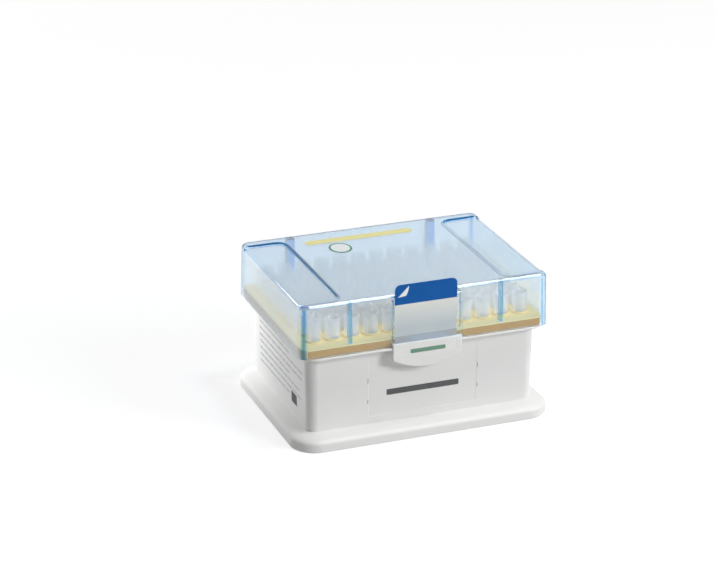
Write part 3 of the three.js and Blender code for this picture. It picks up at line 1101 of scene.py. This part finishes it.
# %% Where the masks lie
mask_gap = 0.4
deepest_rib = max(front_rib_depth, back_rib_depth)
recess_ends = (recess_front - lid_y + draft, lid_y - draft - recess_back)
step_middle_share = 0.45
step_half_share = 0.85
for name, size in {
    "Rib Reach": front_rib_x + 2 * tip_pitch,
    "Rib Middle": inner_y - deepest_rib / 2 - mask_gap,
    "Rib Depth": deepest_rib / 2,
    "Recess Side": lid_x - draft - recess_width,
    "Recess Middle": sum(recess_ends) / 2,
    "Recess Half": (recess_ends[1] - recess_ends[0]) / 2,
    "Recess Corner": recess_corner,
    "Step Middle": recess_edge * step_middle_share,
    "Step Half": recess_edge * step_half_share,
    "Step Reach": lid_x - draft - lid_edge - mask_gap,
    "Step Height": recess_floor - lid_roof,
}.items():
    kinds.inputs[name].default_value = size * MM
print("ribs reach", front_rib_x + 2 * tip_pitch, "mm to each side of the middle")

# %% [markdown]
# ## The seal
# A strip of film, stuck to the tab and to the catch below it. Over the tab's hollow it is frosted
# and turns whiter upwards, on the tab's lip it is pressed flat and clears up, on the catch it is
# clear, and its upper end is printed blue and stands free above the lid as a grip. It is one thin
# body with four finishes: the film is cut across at three heights, and each face takes the finish
# of the height it lies at.

# %% Film finishes
film_light_share = 0.8


def film_finish(name, colour, flow_colour, roughness, alpha):
    """A see-through film. Most of the light that carries shadows passes it."""
    material, shader = plastic(
        name, srgb(*colour), srgb(*flow_colour), roughness, 0.01,
        roughness_change=0.15, flow_size=90, grain_size=900,
    )
    shader.inputs["Alpha"].default_value = alpha
    let_light_pass(material, shader, film_light_share)
    return material, shader


clear_film, _ = film_finish("clear film", (240, 241, 240), (236, 238, 236), 0.25, 0.1)
pressed_film, _ = film_finish("pressed film", (180, 189, 200), (173, 182, 194), 0.35, 0.5)
frosted_film, frosted_shader = film_finish("frosted film", (200, 210, 216), (194, 204, 211), 0.4, 0.72)
blue_film, blue_shader = plastic(
    "blue printed film", srgb(12, 92, 168), srgb(6, 84, 160), 0.4, 0.01,
    roughness_change=0.1, flow_size=90, grain_size=900,
)
blue_shader.inputs["Specular IOR Level"].default_value = 0.2
white_print, _ = plastic(
    "white print", srgb(238, 242, 244), srgb(230, 236, 240), 0.4, 0.005,
    roughness_change=0.1, flow_size=200, grain_size=2000,
)

# %% The frosted film turns whiter upwards
whiter_above_tab = 7.0
whitest_below_top = 3.0


def lead_over_by_height(material, shader, low, high, colour):
    """Leads a material's colour over to another one between two heights."""
    nodes, links = material.node_tree.nodes, material.node_tree.links
    place = nodes.new("ShaderNodeTexCoord")
    parts = nodes.new("ShaderNodeSeparateXYZ")
    links.new(place.outputs["Object"], parts.inputs["Vector"])
    rise = nodes.new("ShaderNodeMapRange")
    rise.inputs["From Min"].default_value = low * MM
    rise.inputs["From Max"].default_value = high * MM
    links.new(parts.outputs["Z"], rise.inputs["Value"])
    tone = nodes.new("ShaderNodeMix")
    tone.data_type = "RGBA"
    tone.inputs["B"].default_value = colour
    links.new(rise.outputs["Result"], tone.inputs["Factor"])
    links.new(shader.inputs["Base Color"].links[0].from_socket, tone.inputs["A"])
    links.new(tone.outputs["Result"], shader.inputs["Base Color"])


lead_over_by_height(
    frosted_film, frosted_shader,
    tab_bottom + whiter_above_tab, lid_top - whitest_below_top, srgb(236, 236, 228),
)
print("film finishes:", [finish.name for finish in (clear_film, pressed_film, frosted_film, blue_film)])

# %% The film
grip_bottom = lid_top - 4.2
film_thickness = 0.16
seal_back = seal_high.y
film_face = seal_back - film_thickness


def build_seal():
    """The film's outline pushed back by its thickness, cut across where its finish changes."""
    outline = rounded_line([
        (seal_low.x, seal_low.z, 1.3), (seal_high.x, seal_low.z, 1.3),
        (seal_high.x, seal_high.z, 2.6), (seal_low.x, seal_high.z, 2.6),
    ], steps=8, closed=True)
    film = plate("film", "y", outline, film_face, seal_back)
    made = bmesh.new()
    made.from_mesh(film.data)
    changes = (tab_bottom, tab_bottom + tab_lip, grip_bottom)
    for height in changes:
        everything = made.verts[:] + made.edges[:] + made.faces[:]
        bmesh.ops.bisect_plane(made, geom=everything, plane_co=(0, 0, height * MM), plane_no=(0, 0, 1))
    for face in made.faces:
        face.material_index = sum(face.calc_center_median().z > height * MM for height in changes)
    made.to_mesh(film.data)
    made.free()
    for finish in (clear_film, pressed_film, frosted_film, blue_film):
        film.data.materials.append(finish)
    return film


seal = build_seal()
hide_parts("seal")
finish_piece(seal, "seal_film", "lid", None)

# %% [markdown]
# ## Prints
# Ink has almost no thickness, but as a paper-thin plate it stays crisp from any distance. Each
# print is a plain field of colour: a strip and a ringed mark on the lid, a stripe on the catch and
# on the front, and a turned-up corner on the grip.

# %% Ink
def printing_ink(name, colour, flow_colour, roughness=0.4):
    """A dull ink that covers what is under it."""
    material, _ = plastic(
        name, srgb(*colour), srgb(*flow_colour), roughness, 0.004,
        roughness_change=0.1, flow_size=300, grain_size=2000,
    )
    return material


yellow_ink = printing_ink("yellow ink", (236, 230, 158), (232, 222, 144))
green_ink = printing_ink("green ink", (10, 122, 80), (8, 114, 74))
grey_ink = printing_ink("grey ink", (84, 86, 88), (74, 76, 78), 0.45)
pale_grey_ink = printing_ink("pale grey ink", (196, 199, 201), (178, 182, 185), 0.45)
ink_thickness = 0.05
ink_lift = 0.01


def ink_on(name, axis, outline, face, outward, body, ink):
    """A print on a flat face: an outline as a paper-thin plate."""
    out = face + outward * ink_thickness
    print_plate = plate(name, axis, outline, min(face, out), max(face, out))
    return finish_piece(print_plate, name, body, ink)


# %% Prints on the lid
strip_x = (-31.0, 21.5)
strip_y = (27.6, 32.6)
top_face = lid_top + ink_lift
ink_on(
    "lid_strip", "z", rounded_box_outline(*strip_x, *strip_y, 1.5), top_face, 1,
    "lid", yellow_ink,
)


def oval(x, y, half_x, half_y, steps=40):
    turn = [k * 2 * math.pi / steps for k in range(steps)]
    return [Vector((x + half_x * math.cos(angle), y + half_y * math.sin(angle))) for angle in turn]


mark_x, mark_y = -17.7, 19.5
ring_size = (5.3, 6.2)
mark_size = (4.4, 5.2)
ink_on(
    "lid_mark_ring", "z", oval(mark_x, mark_y, *ring_size), top_face, 1,
    "lid", green_ink,
)
ink_on(
    "lid_mark", "z", oval(mark_x, mark_y, *mark_size), top_face + ink_thickness, 1,
    "lid", white_print,
)

# %% Prints on the base
catch_stripe_x = (-8.2, 8.5)
catch_stripe_z = (41.0, 42.9)
front_stripe_half = 17.4
front_stripe_z = (19.8, 22.6)
ink_on(
    "catch_stripe", "y", rounded_box_outline(*catch_stripe_x, *catch_stripe_z, 0.4),
    boss_face - ink_lift, -1, "base", green_ink,
)


def lean_print(obj):
    """Leans a print on the front wall to lie on it."""
    for vertex in obj.data.vertices:
        vertex.co.y -= wall_lean(vertex.co.z / MM) * MM


panel_face = -(wall_low_y - panel_depth) - ink_lift
lean_print(ink_on(
    "front_stripe", "y",
    rounded_box_outline(-front_stripe_half, front_stripe_half, *front_stripe_z, 0.5),
    panel_face, -1, "base", grey_ink,
))

# %% [markdown]
# On the left wall the maker prints small type. Rows of faint bars of uneven length stand for it,
# with one darker square in the corner. The lengths come from a short rule, so they are the same in
# every run.

# %% Bars on the left wall
label_front, label_back = -33.0, 27.0
label_top, label_pitch, label_rows = 39.5, 3.3, 8
bar_height = 0.5


def side_print(name, pieces, ink):
    """Upright rectangles (y0, y1, z0, z1) on the left wall, in one object, leaned with the wall."""
    face = -(wall_x - draft) - ink_lift
    plates = [
        plate("bar", "x", rounded_box_outline(y0, y1, z0, z1, 0.15), face - ink_thickness, face)
        for y0, y1, z0, z1 in pieces
    ]
    bars = merge_islands(name, plates)
    for vertex in bars.data.vertices:
        vertex.co.x -= wall_lean(vertex.co.z / MM) * MM
    return finish_piece(bars, name, "base", ink)


def bar_rows():
    """Broken rows of bars: each row starts at the back and stops at its own length."""
    for row in range(label_rows):
        z = label_top - row * label_pitch
        y = label_back
        number = row
        while y > label_front + 14 * (row % 3 == 1) + 5:
            length = 3.0 + 4.0 * (number * 0.618 % 1)
            yield max(y - length, label_front), y, z - bar_height / 2, z + bar_height / 2
            y -= length + 1.1
            number += 3


side_print("side_bars", list(bar_rows()), pale_grey_ink)
side_print("side_square", [(label_front + 10, label_front + 17, 13.5, 18.5)], grey_ink)

# %% Print on the grip
peel_x, peel_z = -14.6, 68.6
peel_width, peel_height = 5.2, 5.0
peel_rise = 0.5
peel_curl = 0.25


def curled_side(share):
    """A point on the turned-up corner's curled side, from its foot at 0 to its top at 1."""
    x = peel_x + peel_width * (1 - peel_curl * (1 - share) ** 2)
    return Vector((x, peel_z + peel_rise + (peel_height - peel_rise) * share))


peel_outline = [Vector((peel_x, peel_z))] + [curled_side(step / 4) for step in range(5)]
ink_on("peel_mark", "y", peel_outline, film_face - ink_lift, -1, "lid", white_print)

# %% [markdown]
# ## The room
# A pale floor that keeps the box's shadow, a white surround, four soft lamps and two long strips.
# The main lamp stands in front to the right. A small one close to the left back corner lights
# the base alone: its left face gets darker from the back end forward. Nothing lights the front
# left corner straight on, so the round corner of the base turns darker there. Two more lamps, one
# behind and one above, fill in what the main one leaves. The strips light nothing: only gloss sees
# them, and they stand where the lid's front and left edges mirror them as thin white lines.

# %% World
world = bpy.data.worlds.new("surround")
bpy.context.scene.world = world
world.use_nodes = True
world_nodes, world_links = world.node_tree.nodes, world.node_tree.links
background = world_nodes["Background"]
background.inputs["Color"].default_value = (1, 1, 1, 1)
ambient = 0.27


def white_to_the_eye(tree):
    """1 for rays from the camera, from gloss and through glass, and 0 for rays that carry light."""
    path = tree.nodes.new("ShaderNodeLightPath")
    seen = ("Is Camera Ray", "Is Glossy Ray", "Is Transmission Ray")
    return largest_of(tree, [path.outputs[name] for name in seen])


strength = world_nodes.new("ShaderNodeMix")
strength.inputs["A"].default_value = ambient
strength.inputs["B"].default_value = 1.0
world_links.new(white_to_the_eye(world.node_tree), strength.inputs["Factor"])
world_links.new(strength.outputs["Result"], background.inputs["Strength"])
print("surround gives", ambient, "of white")

# %% [markdown]
# A white floor would throw much light back up at the box and flatten it. So the floor is only pale
# for the rays that carry light. For the eye, and in gloss and glass, it is a dim version of itself
# with a plain glow on top, which comes to white in the open and to a faint shadow under the box.

# %% Floor
floor_material = bpy.data.materials.new("pale floor")
floor_material.use_nodes = True
floor_nodes, floor_links = floor_material.node_tree.nodes, floor_material.node_tree.links
floor_shader = floor_nodes["Principled BSDF"]
floor_shader.inputs["Base Color"].default_value = (0.6, 0.6, 0.6, 1)
floor_shader.inputs["Roughness"].default_value = 0.9
floor_shader.inputs["Specular IOR Level"].default_value = 0.0
floor_dim = floor_nodes.new("ShaderNodeBsdfDiffuse")
floor_dim.inputs["Color"].default_value = (0.3, 0.3, 0.3, 1)
floor_glow = floor_nodes.new("ShaderNodeEmission")
floor_glow.inputs["Strength"].default_value = 0.78
floor_seen = floor_nodes.new("ShaderNodeAddShader")
floor_choice = floor_nodes.new("ShaderNodeMixShader")
floor_links.new(floor_dim.outputs["BSDF"], floor_seen.inputs[0])
floor_links.new(floor_glow.outputs["Emission"], floor_seen.inputs[1])
floor_links.new(white_to_the_eye(floor_material.node_tree), floor_choice.inputs["Fac"])
floor_links.new(floor_shader.outputs["BSDF"], floor_choice.inputs[1])
floor_links.new(floor_seen.outputs["Shader"], floor_choice.inputs[2])
floor_links.new(floor_choice.outputs["Shader"], floor_nodes["Material Output"].inputs["Surface"])

floor_half = 4000
floor = new_object(
    "floor",
    [(x, y, base_low.z) for x, y in ((-1, -1), (1, -1), (1, 1), (-1, 1))],
    [(0, 1, 2, 3)],
)
floor.scale = (floor_half, floor_half, 1)
floor.data.materials.append(floor_material)


# %% [markdown]
# The camera and the clear plastic see none of the lamps. A lamp's gloss can be switched off too:
# only the main lamp and the strips are mirrored.

# %% Lamps
def lamp(name, azimuth, elevation, distance, size, power, mirrored=True):
    """A square soft lamp that looks at the box. Azimuth 0 is in front, 90 to the right."""
    turn, rise = math.radians(azimuth), math.radians(elevation)
    towards = Vector((
        math.sin(turn) * math.cos(rise), -math.cos(turn) * math.cos(rise), math.sin(rise),
    ))
    data = bpy.data.lights.new(name, "AREA")
    data.size = size
    data.energy = power
    obj = bpy.data.objects.new(name, data)
    obj.location = towards * distance + Vector((0, 0, lid_top * MM / 2))
    obj.rotation_euler = towards.to_track_quat("Z", "Y").to_euler()
    obj.visible_camera = False
    obj.visible_transmission = False
    obj.visible_glossy = mirrored
    bpy.context.scene.collection.objects.link(obj)
    return obj


def strip(name, azimuth, elevation, distance, beside, width, length, power):
    """A long lamp that only gloss sees. Its short side lies along a given direction."""
    obj = lamp(name, azimuth, elevation, distance, width, power)
    obj.data.shape = "RECTANGLE"
    obj.data.size_y = length
    look = obj.location.normalized()
    across = (beside - look * beside.dot(look)).normalized()
    obj.rotation_euler = Matrix((across, look.cross(across), look)).transposed().to_euler()
    obj.visible_diffuse = False
    return obj


lamp("front right", 42, 25, 1.6, 0.5, 14.8)
left_lamp = lamp("left", -135, 3, 0.1416, 0.04, 0.11, mirrored=False)
base_only = bpy.data.collections.new("lit by the left lamp")
base_only.objects.link(base)
left_lamp.light_linking.receiver_collection = base_only
lamp("behind", -160, 24, 1.2, 0.2, 1.6, mirrored=False)
lamp("above", 59, 67, 1.5, 0.24, 6.8, mirrored=False)
strip("over the front edge", 84, 69.4, 3.0, Vector((1, 0, 0)), 0.62, 4.6, 80)
strip("over the left edge", -160, 24, 2.0, Vector((0, 1, 0)), 0.05, 0.8, 0.8)
print("lamps:", [light.name for light in bpy.data.lights])

# %% [markdown]
# Through the lid a view crosses many clear walls and see-through tips. With too few bounces such
# rays would end black, so there are plenty.

# %% Bounces
cycles = bpy.context.scene.cycles
cycles.transparent_max_bounces = 32
cycles.max_bounces = 64
cycles.transmission_bounces = 64
cycles.glossy_bounces = 64
